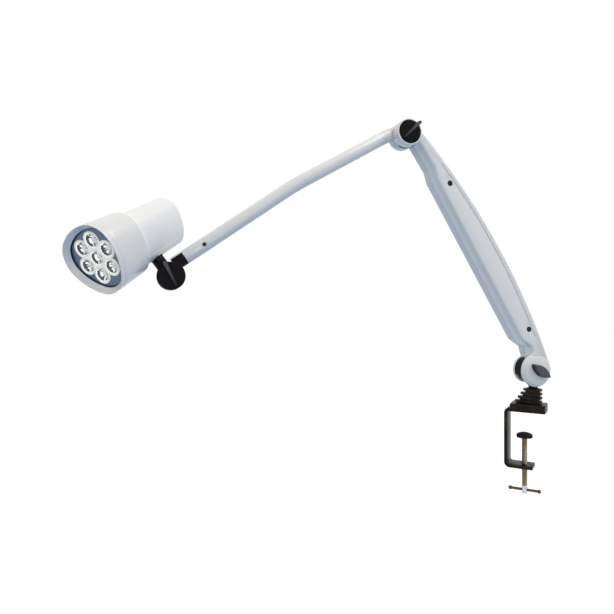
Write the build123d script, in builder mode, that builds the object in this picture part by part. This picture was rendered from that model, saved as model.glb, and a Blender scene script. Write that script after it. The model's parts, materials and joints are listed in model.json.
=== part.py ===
# Dental operating light: an LED head on two friction-jointed arms over a table clamp.
# Millimetres.  Z = 0 is the table top under the clamp block, Z is up, the base post stands
# on the Z axis, and both arms lie in the XZ plane, reaching out towards -X.
# The locking knobs face -Y.
from build123d import *
from math import cos, radians, sin, sqrt
import os

os.makedirs("parts", exist_ok=True)

# ---- pose at rest (degrees) -----------------------------------------------------------
lower_lean = 32.3        # lower arm, from the vertical towards -X
fore_drop = 32.5         # fore-arm, below the horizontal
stem_lean = 36.9         # head stem, from the vertical towards -X
head_swivel = 41.5       # head about its stem, from the arm plane towards -Y
clamp_yaw = -46.0        # clamp about the post, from the arm plane

# ---- links -----------------------------------------------------------------------------
tilt_height = 64.0       # base tilt axis above the table
tilt_offset = 6.0        # base tilt axis ahead of the post axis
lower_length = 395.0     # base tilt axis to elbow axis
fore_length = 375.0      # elbow axis to head tilt axis
stem_length = 62.5       # head tilt axis to the axis of the lamp head

# ---- joints: a tongue between two cheeks, clamped by an axle and a knob ------------------
tongue_thickness = 13.6
washer_thickness = 1.0
turn_gap = 0.2           # face clearance between a turning tongue and its washer
edge_gap = 1.5           # radial clearance round a tongue inside its fork
running_fit = 0.1        # clearance on a diameter where one piece turns in another
axle_diameter = 8.0
washer_diameter = 28.0
hex_across = 13.0
hex_height = 5.0
base_tongue_radius = 18.0
base_cheek_radius = 25.0
elbow_radius = 18.5
far_cheek_radius = 15.0
far_cheek_thickness = 6.0
far_end_cut = 5.0        # far cover's body stops short of each joint axis
hub_diameter = 12.0      # knob hubs, let into the cheeks
hub_floor = 2.5          # cheek left under a hub
bore_cover = 2.0         # knob left over the end of its axle

fork_half = tongue_thickness / 2 + turn_gap + washer_thickness

# ---- clamp -----------------------------------------------------------------------------
bar_thickness = 5.0
bar_width = 30.0
bar_bend = 3.0           # inner bend radius of the clamp bar
bar_back = 39.4          # post axis to the outside of the clamp bar
bar_top_end = 12.0       # post axis to the end of the upper leg
jaw_end = 1.0            # post axis to the end of the lower jaw
jaw_opening = 81.0
block_front = 19.0
block_back = 31.0
block_width = 36.0
block_height = 12.0
block_round = 3.0        # upright corners of the block
block_edge = 1.2
fin_count = 4
fin_pitch = 6.0
fin_thickness = 3.0
fin_step = 1.5           # top of the block to the lowest fin
fin_radius = 13.2        # fins round the post
fin_tail_radius = 8.0
fin_tail = 26.0          # post axis to the tail of the lowest fin
fin_tail_step = 4.0      # each fin is this much shorter than the one below
fin_depth = 3.0          # fins stand out from the core by this
post_diameter = 10.0
bush_wall = 2.0
bush_flange = 1.0
bush_flange_radius = 9.5
post_floor = 2.0         # block left below the post

# ---- clamp screw -----------------------------------------------------------------------
screw_place = -12.0      # clamp screw axis from the post axis
screw_diameter = 8.0
screw_drop = 126.0       # lower end of the screw below the table top
screw_point = 1.0
pad_radius = 11.5
pad_rim = 4.5
pad_dome = 3.5
pad_top = 32.5           # top of the pressure pad below the table top
pad_socket = 4.0         # how far the screw reaches into the pad
tommy_drop = 120.5
tommy_diameter = 4.0
tommy_length = 47.0
tommy_ball = 6.0
block_screw_places = (-25.0, -16.0)   # from the post axis
block_screw_diameter = 4.0
block_screw_head = 8.0
block_screw_length = 10.0

# ---- base knuckle ----------------------------------------------------------------------
neck_diameter = 13.0

# ---- lower arm cover -------------------------------------------------------------------
arm_depth = 36.0
arm_wall = 2.4
arm_round = 4.0
arm_left = 2.0           # left edge of the cover from the line between the joints
arm_left_slope = 4.0
arm_bulge_radius = 1000.0  # bow of the cover's right edge, tangent to both cheeks
notch_round = 8.0
crotch_round = 6.0       # where a cheek's disc meets the cover
notch_depth = 10.5
notch_base = 34.0        # notch near the base, along the arm
notch_base_end = 52.0
notch_elbow = 60.0       # notch near the elbow, back from the elbow axis
notch_elbow_end = 76.0
cavity_base = 46.0
cavity_elbow = 62.0
boss_height = 24.0       # knob cup above the middle plane
boss_round = 1.5
knob_cup_depth = 5.0
spar_thickness = 3.0
spar_width = 14.0
spar_line = 20.0         # spar and cover screws from the line between the joints
cover_screw_base = 60.0
cover_screw_elbow = 90.0
pillar_radius = 5.5
cover_screw_diameter = 4.0
cover_screw_head = 8.0
cover_screw_length = 30.0
spar_end_gap = 4.0
spar_round = 3.0
groove_width = 1.6
groove_depth = 0.8
groove_edge = 8.0        # groove back from the right edge of the cover

# ---- knobs -----------------------------------------------------------------------------
knob_radius = 16.0
knob_disc = knob_cup_depth  # a disc fills its cup, so that its wing clears the cup's rim
knob_gap = 0.3           # face clearance under a knob
knob_round = 1.2
wing_height = 9.5
wing_low = 1.0           # height left at the thin end
wing_thickness = 5.6     # at the broad end
wing_tip = 2.4           # thickness at the thin end
wing_overhang = 2.0      # broad end beyond the disc
wing_swell = 0.62        # share of the height that the ridge has over the axle
wing_taper = 4.0         # degrees
cap_radius = 22.0
cap_seat = 1.5           # cap let into the cheek
cap_rim = 2.1
cap_dome = 3.0
base_wing_length = 34.0
base_wing_width = 14.0
base_wing_height = 9.0
base_wing_round = 1.5
base_wing_angle = 21.7   # resting turns of the three knobs
elbow_wing_angle = -77.0
head_wing_angle = -9.9

# ---- fore-arm --------------------------------------------------------------------------
tube_diameter = 18.0
tube_wall = 1.5
tube_start = 28.0        # elbow axis to the start of the tube
tube_start_rise = 12.0
tube_bend = 175.0        # where the tube bends
tube_bend_rise = 18.5
tube_bend_radius = 300.0
neck_start = 10.0        # elbow tongue's neck, from the elbow axis
neck_line = 10.0
neck_height = 17.0
neck_width = 12.8
neck_round = 2.0
tube_stop = 27.0         # head tilt axis back to the tube's cut end
tube_stop_rise = 11.0
spigot_length = 36.0
spigot_gap = 0.1
hood_length = 16.0       # top of the tube runs on over the head joint
hood_rise = 18.2
fore_screw_place = 56.0
fore_screw_diameter = 3.0
fore_screw_head = 5.0
fore_screw_head_height = 1.2
fore_screw_length = 5.0

# ---- head joint ------------------------------------------------------------------------
knuckle_radius = 16.5
knuckle_thickness = 11.0
head_disc_radius = 17.3
head_disc_thickness = 11.8
head_axle_diameter = 6.0
collar_diameter = 16.0
collar_reach = 28.5      # head tilt axis to the end of the collar
collar_full = 17.5       # from here out the collar is fully round
pin_floor = 18.0         # head tilt axis to the lower end of the pin
axle_head_diameter = 10.0
axle_head_height = 3.0
pin_diameter = 10.0
pin_head_diameter = 15.0
pin_head_height = 3.0

# ---- lamp head: every outline is one small triangle with rounded corners ----------------
tri_radius = 13.0        # corners of that triangle from the head's axis
tri_turn = 30.0          # degrees, first corner from the head's x axis
tri_bow = 2.0            # its sides bulge by this much
corners = 3
rim_offset = 30.0        # front housing at its rim
shoulder_offset = 27.5   # front housing at its rear
barrel_offset = 23.0     # barrel inside the front housing
barrel_rear_offset = 20.5
window_offset = 24.3
head_wall = 2.5
rim_place = 81.5         # along the head's axis, from the stem
window_place = 75.5
seam_place = 28.0
barrel_end = -55.0
front_wall = 1.5
flange_thickness = 2.8   # flange of the barrel inside the front housing
socket_top = 22.0        # inner end of the pin's socket below the head's axis
socket_radius = 9.0
spot_radius = 10.0       # flat round the socket for the collar
pillar_place = 31.0      # pillars and screws of the heat sink, from the head's axis
pillar_depth = 36.0
boss_radius = 4.0
head_screw_diameter = 3.0
head_screw_head = 2.0
head_screw_head_diameter = 6.0
head_screw_length = 12.0
bezel_rim = 5.5
bezel_lip = 0.7
plate_depth = 2.0        # face plate behind the window's edge
board_offset = 18.0
led_window = 6.0
sink_place = 56.4
sink_fin_width = 30.0
driver_gap = 3.0
driver_post = 5.0
driver_post_inset = 5.0  # posts from the edges of the driver board
choke_width = 10.0       # largest parts on the driver board
choke_length = 13.0
choke_height = 5.0
capacitor_diameter = 6.5
capacitor_height = 7.5
button_flange = 1.5
barrel_round = 6.0
shoulder_round = 3.0
plate_thickness = 2.0
optic_pitch = 20.6
ring_leds = 6            # round the middle one
optic_radius = 9.2
optic_back_radius = 4.0
optic_depth = 9.0
petal_radius = 10.8
petal_core = 15.8        # disc that joins the petals
petal_proud = 1.2
led_size = 3.5
led_height = 1.4
board_thickness = 1.6
sink_plate = 6.0
sink_fin_count = 7
sink_fin_thickness = 1.8
sink_fin_pitch = 5.2
sink_fin_length = 38.0
button_diameter = 14.0
button_height = 7.0
button_travel = 2.0
button_round = 1.0
switch_wall = 1.5
switch_floor = 4.0
button_proud = 3.0
driver_length = 26.0
driver_width = 30.0
insert_gap = 0.2         # clearance round a piece set into a housing

block_screw_cone = (block_screw_head - block_screw_diameter) / 2
cover_screw_cone = (cover_screw_head - cover_screw_diameter) / 2

# ---- frames ----------------------------------------------------------------------------
base_axis = Vector(-tilt_offset, 0, tilt_height)
lower_dir = Vector(-sin(radians(lower_lean)), 0, cos(radians(lower_lean)))
elbow_axis = base_axis + lower_dir * lower_length
fore_dir = Vector(-cos(radians(fore_drop)), 0, -sin(radians(fore_drop)))
head_axis = elbow_axis + fore_dir * fore_length
stem_dir = Vector(-sin(radians(stem_lean)), 0, cos(radians(stem_lean)))
level_dir = Vector(-cos(radians(stem_lean)), 0, -sin(radians(stem_lean)))
beam_dir = level_dir * cos(radians(head_swivel)) + Vector(0, -sin(radians(head_swivel)), 0)
head_centre = head_axis + stem_dir * stem_length

# In the link frames x runs along the link and z towards the knobs.
near = (0, -1, 0)
BASE = Plane(origin=base_axis, x_dir=(1, 0, 0), z_dir=near)
LOWER = Plane(origin=base_axis, x_dir=lower_dir, z_dir=near)
FORE = Plane(origin=elbow_axis, x_dir=fore_dir, z_dir=near)
TILT = Plane(origin=head_axis, x_dir=stem_dir, z_dir=near)
STEM = Plane(origin=head_axis, x_dir=level_dir, z_dir=stem_dir)
HEAD = Plane(origin=head_centre, x_dir=stem_dir.cross(beam_dir), z_dir=beam_dir)
CLAMP = Plane(origin=(0, 0, 0), x_dir=(cos(radians(clamp_yaw)), sin(radians(clamp_yaw)), 0),
              z_dir=(0, 0, 1))
CLAMP_SIDE = Plane(origin=(0, 0, 0), x_dir=CLAMP.x_dir, z_dir=-CLAMP.y_dir)


# ======================================================================================
# Clamp: steel bar bent to a C, block with fins over its upper leg, bush for the post
# ======================================================================================
with BuildPart() as clamp_bracket:
    with BuildSketch(CLAMP_SIDE):
        with BuildLine():
            FilletPolyline((bar_top_end, bar_thickness), (-bar_back, bar_thickness),
                           (-bar_back, -jaw_opening - bar_thickness),
                           (jaw_end, -jaw_opening - bar_thickness),
                           radius=bar_bend + bar_thickness)
            offset(amount=bar_thickness, side=Side.LEFT)
        make_face()
    extrude(amount=bar_width / 2, both=True)
    with Locations(CLAMP.offset(-jaw_opening)):
        with Locations((screw_place, 0)):
            Hole(radius=(screw_diameter + running_fit) / 2, depth=bar_thickness * 2)
    with Locations(-CLAMP):
        with Locations([(place, 0) for place in block_screw_places]):
            CounterSinkHole(radius=(block_screw_diameter + running_fit) / 2,
                            counter_sink_radius=(block_screw_head + running_fit) / 2,
                            depth=bar_thickness)
clamp_bracket.part.label = "clamp_bracket"
export_step(clamp_bracket.part, "parts/clamp_bracket.step")


def fin_outline(level, inset):
    """Outline of a fin or of the core between fins: round the post, with a shorter tail higher up."""
    tail = fin_tail - level * fin_tail_step
    with BuildSketch() as outline:
        Circle(fin_radius - inset)
        with Locations((fin_tail_radius - tail, 0)):
            Circle(fin_tail_radius - inset)
        make_hull()
    return outline.sketch


fin_top = block_height + fin_step + (fin_count - 1) * fin_pitch + fin_thickness
bush_radius = post_diameter / 2 + bush_wall
with BuildPart() as clamp_block:
    with BuildSketch(CLAMP):
        with Locations(((block_front - block_back) / 2, 0)):
            RectangleRounded(block_front + block_back, block_width, block_round)
    extrude(amount=block_height)
    fillet(clamp_block.faces().sort_by(Axis.Z)[-1].edges(), radius=block_edge)
    for level in range(fin_count):
        floor = block_height + fin_step + level * fin_pitch
        with BuildSketch(CLAMP.offset(floor)):
            add(fin_outline(level, 0))
        extrude(amount=fin_thickness)
        with BuildSketch(CLAMP.offset(floor)):
            add(fin_outline(level, fin_depth))
        extrude(amount=-(fin_step if level == 0 else fin_pitch - fin_thickness))
    with BuildSketch(CLAMP):
        with Locations(((bar_top_end - bar_back) / 2, 0)):
            Rectangle(bar_top_end + bar_back, bar_width)
    extrude(amount=bar_thickness, mode=Mode.SUBTRACT)
    with BuildSketch(CLAMP.offset(bar_thickness + post_floor)):
        Circle(bush_radius)
    extrude(amount=fin_top, mode=Mode.SUBTRACT)
    with BuildSketch(CLAMP.offset(bar_thickness)):
        with Locations([(place, 0) for place in block_screw_places]):
            Circle((block_screw_diameter + running_fit) / 2)
    extrude(amount=block_screw_length - bar_thickness + insert_gap, mode=Mode.SUBTRACT)
clamp_block.part.label = "clamp_block"
export_step(clamp_block.part, "parts/clamp_block.step")

post_end = bar_thickness + post_floor
neck_floor = fin_top + bush_flange
with BuildPart() as post_bush:
    with BuildSketch(CLAMP.offset(post_end)):
        Circle(bush_radius)
    extrude(amount=fin_top - post_end)
    with BuildSketch(CLAMP.offset(fin_top)):
        Circle(bush_flange_radius)
    extrude(amount=bush_flange)
    with BuildSketch(CLAMP.offset(post_end)):
        Circle((post_diameter + running_fit) / 2)
    extrude(amount=neck_floor, mode=Mode.SUBTRACT)
post_bush.part.label = "post_bush"
export_step(post_bush.part, "parts/post_bush.step")

with BuildPart() as block_screws:
    for place in block_screw_places:
        with BuildSketch(CLAMP):
            with Locations((place, 0)):
                Circle(block_screw_diameter / 2)
        extrude(amount=block_screw_length)
        with Locations(CLAMP):
            with Locations((place, 0, block_screw_cone / 2)):
                Cone(block_screw_head / 2, block_screw_diameter / 2, block_screw_cone)
block_screws.part.label = "block_screws"
export_step(block_screws.part, "parts/block_screws.step")

# ======================================================================================
# Clamp screw with its pressure pad and sliding tommy bar
# ======================================================================================
pad_floor = -pad_top - pad_dome - pad_rim
tommy_plane = Plane(origin=CLAMP.from_local_coords(Vector(screw_place, 0, -tommy_drop)),
                    x_dir=CLAMP.y_dir, z_dir=CLAMP.x_dir)
with BuildPart() as clamp_screw:
    with BuildSketch(CLAMP.offset(-screw_drop)):
        with Locations((screw_place, 0)):
            Circle(screw_diameter / 2)
    extrude(amount=screw_drop + pad_floor + pad_socket)
    chamfer(clamp_screw.faces().sort_by(Axis.Z)[0].edges(), length=screw_point)
    with BuildSketch(tommy_plane):
        Circle((tommy_diameter + running_fit) / 2)
    extrude(amount=screw_diameter, both=True, mode=Mode.SUBTRACT)
clamp_screw.part.label = "clamp_screw"
export_step(clamp_screw.part, "parts/clamp_screw.step")

dome_radius = (pad_radius ** 2 + pad_dome ** 2) / (2 * pad_dome)
with BuildPart() as pressure_pad:
    with BuildSketch(CLAMP_SIDE):
        with BuildLine():
            Polyline((screw_place, -pad_top), (screw_place, pad_floor),
                     (screw_place + pad_radius, pad_floor),
                     (screw_place + pad_radius, pad_floor + pad_rim))
            RadiusArc((screw_place + pad_radius, pad_floor + pad_rim), (screw_place, -pad_top),
                      -dome_radius)
        make_face()
    revolve(axis=Axis(CLAMP.from_local_coords(Vector(screw_place, 0, 0)), (0, 0, 1)))
    with BuildSketch(CLAMP.offset(pad_floor)):
        with Locations((screw_place, 0)):
            Circle((screw_diameter + running_fit) / 2)
    extrude(amount=pad_socket + insert_gap, mode=Mode.SUBTRACT)
pressure_pad.part.label = "pressure_pad"
export_step(pressure_pad.part, "parts/pressure_pad.step")

with BuildPart() as tommy_bar:
    with BuildSketch(tommy_plane):
        Circle(tommy_diameter / 2)
    extrude(amount=(tommy_length - tommy_ball) / 2, both=True)
    with Locations(tommy_plane):
        with Locations((0, 0, (tommy_length - tommy_ball) / 2), (0, 0, (tommy_ball - tommy_length) / 2)):
            Sphere(radius=tommy_ball / 2)
tommy_bar.part.label = "tommy_bar"
export_step(tommy_bar.part, "parts/tommy_bar.step")

# ======================================================================================
# Base knuckle: a post that turns in the bush, a neck and the tongue of the tilt joint
# ======================================================================================
with BuildPart() as base_knuckle:
    with BuildSketch(CLAMP.offset(post_end + turn_gap)):
        Circle(post_diameter / 2)
    extrude(amount=neck_floor - post_end)
    with BuildSketch(CLAMP.offset(neck_floor + turn_gap)):
        Circle(neck_diameter / 2)
    extrude(amount=tilt_height - neck_floor - turn_gap - axle_diameter)
    with BuildSketch(BASE):
        Circle(base_tongue_radius)
    extrude(amount=tongue_thickness / 2, both=True)
    with BuildSketch(BASE):
        Circle((axle_diameter + running_fit) / 2)
    extrude(amount=tongue_thickness, both=True, mode=Mode.SUBTRACT)
base_knuckle.part.label = "base_knuckle"
export_step(base_knuckle.part, "parts/base_knuckle.step")


# ======================================================================================
# Lower arm: two moulded covers with the cheeks of both forks, and a spar between them
# ======================================================================================
half_depth = arm_depth / 2
elbow = (lower_length, 0)
cheek_outer = fork_half + far_cheek_thickness
axle_bore = (axle_diameter + running_fit) / 2
hub_bore = (hub_diameter + running_fit) / 2
hub_start = fork_half + hub_floor


def cover_outline():
    """Side view of a cover without its cheeks: a bowed edge, and a notched edge opposite."""
    base_reach = arm_bulge_radius - base_cheek_radius
    tip_reach = arm_bulge_radius - elbow_radius
    along = (lower_length ** 2 + base_reach ** 2 - tip_reach ** 2) / (2 * lower_length)
    bow_centre = Vector(along, sqrt(base_reach ** 2 - along ** 2))
    base_touch = bow_centre * (-base_cheek_radius / base_reach)
    tip_touch = Vector(*elbow) + (Vector(*elbow) - bow_centre) * (elbow_radius / tip_reach)
    with BuildSketch() as outline:
        with BuildLine():
            Polyline(base_touch, (0, -arm_left), (notch_base, -notch_depth),
                     (notch_base_end, -arm_left),
                     (lower_length - notch_elbow_end, -arm_left - arm_left_slope),
                     (lower_length - notch_elbow, -notch_depth),
                     (lower_length, -notch_depth + arm_left), tip_touch)
            RadiusArc(tip_touch, base_touch, arm_bulge_radius)
        make_face()
        notch_corners = outline.vertices().filter_by_position(Axis.X, notch_base - 1,
                                                        lower_length - notch_elbow + 1)
        fillet(notch_corners, radius=notch_round)
    return outline.sketch


with BuildSketch() as near_outline:
    add(cover_outline())
    Circle(base_cheek_radius)
    with Locations(elbow):
        Circle(elbow_radius)
    crotches = near_outline.vertices().filter_by_position(Axis.Y, -notch_depth, -arm_left)
    fillet([crotches.sort_by_distance((base_cheek_radius, -arm_left))[0],
            crotches.sort_by_distance((lower_length - elbow_radius, -arm_left))[0]],
           radius=crotch_round)

with BuildSketch() as far_outline:
    add(cover_outline())
    with Locations((lower_length / 2, 0)):
        Rectangle(lower_length - 2 * far_end_cut, 4 * arm_depth, mode=Mode.INTERSECT)

cavity_length = lower_length - cavity_elbow - cavity_base
with BuildSketch() as cavity_outline:
    add(offset(near_outline.sketch, amount=-arm_wall, mode=Mode.PRIVATE))
    with Locations((cavity_base + cavity_length / 2, 0)):
        Rectangle(cavity_length, lower_length, mode=Mode.INTERSECT)

with BuildSketch() as fork_slots:
    Circle(base_tongue_radius + edge_gap)
    with Locations((-arm_depth / 2, 0)):
        Rectangle(arm_depth + base_tongue_radius, 4 * base_cheek_radius)
    with Locations(elbow):
        Circle(elbow_radius + edge_gap)
    with Locations((lower_length + arm_depth / 2, 0)):
        Rectangle(arm_depth + elbow_radius, 4 * base_cheek_radius)

cover_screw_places = [(cover_screw_base, -spar_line),
                      (lower_length - cover_screw_elbow, -spar_line)]


def hollow_cover(side):
    """Cuts the room and the fork slots, and adds the pillars, in the cover being built."""
    with BuildSketch(LOWER) as room:
        add(cavity_outline.sketch)
    extrude(room.sketch, amount=side * (half_depth - arm_wall), mode=Mode.SUBTRACT)
    with BuildSketch(LOWER) as slots:
        add(fork_slots.sketch)
    extrude(slots.sketch, amount=side * fork_half, mode=Mode.SUBTRACT)
    with BuildSketch(LOWER.offset(side * spar_thickness / 2)) as pillars:
        with Locations(cover_screw_places):
            Circle(pillar_radius)
    extrude(pillars.sketch, amount=side * (half_depth - arm_wall - spar_thickness / 2))
    with BuildSketch(LOWER) as bores:
        with Locations((0, 0), elbow):
            Circle(axle_bore)
    extrude(bores.sketch, amount=side * 2 * half_depth, mode=Mode.SUBTRACT)


with BuildPart() as lower_arm_cover_near:
    with BuildSketch(LOWER):
        add(near_outline.sketch)
    extrude(amount=half_depth)
    fillet(lower_arm_cover_near.faces().sort_by(Axis.Y)[0].edges(), radius=arm_round)
    with BuildSketch(LOWER.offset(half_depth - arm_round)):
        with Locations(elbow):
            Circle(elbow_radius)
    extrude(amount=boss_height - half_depth + arm_round)
    fillet(lower_arm_cover_near.faces().sort_by(Axis.Y)[0].edges(), radius=boss_round)
    with BuildSketch(LOWER.offset(boss_height)):
        with Locations(elbow):
            Circle(knob_radius + knob_gap)
    extrude(amount=-knob_cup_depth, mode=Mode.SUBTRACT)
    with BuildSketch(LOWER.offset(half_depth)):
        Circle(cap_radius + insert_gap)
    extrude(amount=-cap_seat, mode=Mode.SUBTRACT)
    hollow_cover(1)
    with BuildSketch(LOWER.offset(hub_start)):
        with Locations((0, 0), elbow):
            Circle(hub_bore)
    extrude(amount=boss_height, mode=Mode.SUBTRACT)
    with BuildSketch(LOWER.offset(half_depth)):
        with BuildLine():
            RadiusArc((lower_length - notch_elbow, -elbow_radius - arm_left_slope),
                      (cavity_base, -base_cheek_radius + arm_left), arm_bulge_radius - groove_edge)
            offset(amount=groove_width / 2)
        make_face()
    extrude(amount=-groove_depth, mode=Mode.SUBTRACT)
    with Locations(LOWER.offset(half_depth)):
        with Locations(cover_screw_places):
            CounterSinkHole(radius=(cover_screw_diameter + running_fit) / 2,
                            counter_sink_radius=(cover_screw_head + running_fit) / 2,
                            depth=half_depth)
lower_arm_cover_near.part.label = "lower_arm_cover_near"
export_step(lower_arm_cover_near.part, "parts/lower_arm_cover_near.step")

with BuildPart() as lower_arm_cover_far:
    with BuildSketch(LOWER):
        add(far_outline.sketch)
    extrude(amount=-half_depth)
    fillet(lower_arm_cover_far.faces().sort_by(Axis.Y)[-1].edges(), radius=arm_round)
    with BuildSketch(LOWER):
        with Locations((0, 0), elbow):
            Circle(far_cheek_radius)
    extrude(amount=-cheek_outer)
    with BuildSketch(LOWER.offset(-cheek_outer)):
        with Locations((0, 0), elbow):
            Circle(far_cheek_radius + arm_round)
    extrude(amount=-half_depth, mode=Mode.SUBTRACT)
    hollow_cover(-1)
    with BuildSketch(LOWER):
        with Locations(cover_screw_places):
            Circle((cover_screw_diameter + running_fit) / 2)
    extrude(amount=-(half_depth - arm_wall), mode=Mode.SUBTRACT)
lower_arm_cover_far.part.label = "lower_arm_cover_far"
export_step(lower_arm_cover_far.part, "parts/lower_arm_cover_far.step")

spar_length = cavity_length - 2 * spar_end_gap
with BuildPart() as arm_spar:
    with BuildSketch(LOWER):
        with Locations((cavity_base + spar_end_gap + spar_length / 2, -spar_line)):
            RectangleRounded(spar_length, spar_width, spar_round)
        with Locations(cover_screw_places):
            Circle((cover_screw_diameter + running_fit) / 2, mode=Mode.SUBTRACT)
    extrude(amount=spar_thickness / 2, both=True)
arm_spar.part.label = "arm_spar"
export_step(arm_spar.part, "parts/arm_spar.step")

with BuildPart() as cover_screws:
    with BuildSketch(LOWER.offset(half_depth)):
        with Locations(cover_screw_places):
            Circle(cover_screw_diameter / 2)
    extrude(amount=-cover_screw_length)
    for place in cover_screw_places:
        with Locations(LOWER.offset(half_depth - cover_screw_cone / 2)):
            with Locations(place):
                Cone(cover_screw_diameter / 2, cover_screw_head / 2, cover_screw_cone)
cover_screws.part.label = "cover_screws"
export_step(cover_screws.part, "parts/cover_screws.step")


# ======================================================================================
# Joint hardware of the lower arm: washers, hexagon-headed axles and locking knobs
# ======================================================================================
def turned(frame, height, angle):
    """The frame lifted along its z axis and turned about it."""
    turned_x = frame.x_dir.rotate(Axis((0, 0, 0), frame.z_dir), angle)
    return Plane(origin=frame.origin + frame.z_dir * height, x_dir=turned_x, z_dir=frame.z_dir)


def across(frame):
    """Plane through the frame's z axis, for outlines to be revolved about that axis."""
    return Plane(origin=frame.origin, x_dir=frame.x_dir, z_dir=-frame.y_dir)


def washer_pair(frame):
    """Two washers, one on each side of the tongue, in the part being built."""
    for floor in (fork_half - washer_thickness, -fork_half):
        with BuildSketch(frame.offset(floor)) as ring:
            Circle(washer_diameter / 2)
            Circle(axle_bore, mode=Mode.SUBTRACT)
        extrude(ring.sketch, amount=washer_thickness)


def hexagon_axle(frame, tip):
    """Axle from its head behind the far cheek to its tip inside the knob."""
    with BuildSketch(frame.offset(-cheek_outer)) as hexagon:
        RegularPolygon(hex_across / 2, 6, major_radius=False)
    extrude(hexagon.sketch, amount=-hex_height)
    with BuildSketch(frame.offset(-cheek_outer)) as shank:
        Circle(axle_diameter / 2)
    extrude(shank.sketch, amount=cheek_outer + tip)


def winged_knob(frame, radius, hub_from, disc_from, wing_angle, bore):
    """Hub, disc with a rounded rim and a tapered wing across it, in the part being built."""
    with BuildSketch(frame.offset(hub_from)) as hub:
        Circle(hub_diameter / 2)
    extrude(hub.sketch, amount=disc_from - hub_from)
    with BuildSketch(across(frame)) as disc:
        with BuildLine():
            Polyline((0, disc_from), (radius, disc_from), (radius, disc_from + knob_disc - knob_round))
            RadiusArc((radius, disc_from + knob_disc - knob_round),
                      (radius - knob_round, disc_from + knob_disc), -knob_round)
            Polyline((radius - knob_round, disc_from + knob_disc), (0, disc_from + knob_disc),
                     (0, disc_from))
        make_face()
    revolve(disc.sketch, axis=Axis(frame.origin, frame.z_dir))
    wing_floor = disc_from + knob_disc
    thin_end = wing_tip + knob_round - radius
    broad_end = radius + wing_overhang - wing_thickness / 2
    with BuildSketch(turned(frame, wing_floor, wing_angle)) as wing:
        with Locations((thin_end, 0)):
            Circle(wing_tip / 2)
        with Locations((broad_end, 0)):
            Circle(wing_thickness / 2)
        make_hull()
    blade = extrude(wing.sketch, amount=wing_height + wing_low, taper=wing_taper, mode=Mode.PRIVATE)
    ridge_end = radius + wing_overhang + wing_thickness
    with BuildSketch(across(turned(frame, wing_floor, wing_angle))) as ridge:
        with BuildLine():
            Polyline((ridge_end, wing_height), (ridge_end, 0), (-radius, 0), (-radius, wing_low))
            ThreePointArc((-radius, wing_low), (0, wing_height * wing_swell), (ridge_end, wing_height))
        make_face()
    add(blade & extrude(ridge.sketch, amount=wing_thickness, both=True, mode=Mode.PRIVATE))
    with BuildSketch(frame.offset(hub_from)) as blind_bore:
        Circle(bore)
    extrude(blind_bore.sketch, amount=disc_from + knob_disc - bore_cover - hub_from,
            mode=Mode.SUBTRACT)


ELBOW = Plane(origin=elbow_axis, x_dir=lower_dir, z_dir=near)
hub_from = hub_start + knob_gap

with BuildPart() as base_washers:
    washer_pair(BASE)
base_washers.part.label = "base_washers"
export_step(base_washers.part, "parts/base_washers.step")

base_knob_floor = half_depth - cap_seat + cap_rim + cap_dome + knob_gap
with BuildPart() as base_axle:
    hexagon_axle(LOWER, base_knob_floor)
base_axle.part.label = "base_axle"
export_step(base_axle.part, "parts/base_axle.step")

cap_sphere = (cap_radius ** 2 + cap_dome ** 2) / (2 * cap_dome)
with BuildPart() as base_cap:
    with BuildSketch(across(LOWER)):
        with BuildLine():
            Polyline((0, half_depth - cap_seat + cap_rim + cap_dome), (0, half_depth - cap_seat),
                     (cap_radius, half_depth - cap_seat), (cap_radius, half_depth - cap_seat + cap_rim))
            RadiusArc((cap_radius, half_depth - cap_seat + cap_rim),
                      (0, half_depth - cap_seat + cap_rim + cap_dome), -cap_sphere)
        make_face()
    revolve(axis=Axis(LOWER.origin, LOWER.z_dir))
    with BuildSketch(LOWER):
        Circle(hub_bore)
    extrude(amount=boss_height, mode=Mode.SUBTRACT)
base_cap.part.label = "base_cap"
export_step(base_cap.part, "parts/base_cap.step")

with BuildPart() as base_knob:
    with BuildSketch(LOWER.offset(hub_from)):
        Circle(hub_diameter / 2)
    extrude(amount=base_knob_floor - hub_from)
    with BuildSketch(turned(LOWER, base_knob_floor, base_wing_angle)):
        with BuildLine():
            half_length = base_wing_length / 2
            ThreePointArc((-half_length, 0), (0, base_wing_width / 2), (half_length, 0))
            ThreePointArc((half_length, 0), (0, -base_wing_width / 2), (-half_length, 0))
        make_face()
    extrude(amount=base_wing_height, taper=wing_taper)
    fillet(base_knob.faces().sort_by(Axis.Y)[0].edges(), radius=base_wing_round)
    with BuildSketch(LOWER.offset(hub_from)):
        Circle(axle_bore)
    extrude(amount=base_knob_floor + bore_cover - hub_from, mode=Mode.SUBTRACT)
base_knob.part.label = "base_knob"
export_step(base_knob.part, "parts/base_knob.step")

with BuildPart() as elbow_washers:
    washer_pair(ELBOW)
elbow_washers.part.label = "elbow_washers"
export_step(elbow_washers.part, "parts/elbow_washers.step")

elbow_knob_floor = boss_height - knob_cup_depth + knob_gap
with BuildPart() as elbow_axle:
    hexagon_axle(ELBOW, elbow_knob_floor)
elbow_axle.part.label = "elbow_axle"
export_step(elbow_axle.part, "parts/elbow_axle.step")

with BuildPart() as elbow_knob:
    winged_knob(ELBOW, knob_radius, hub_from, elbow_knob_floor, elbow_wing_angle, axle_bore)
elbow_knob.part.label = "elbow_knob"
export_step(elbow_knob.part, "parts/elbow_knob.step")


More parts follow.
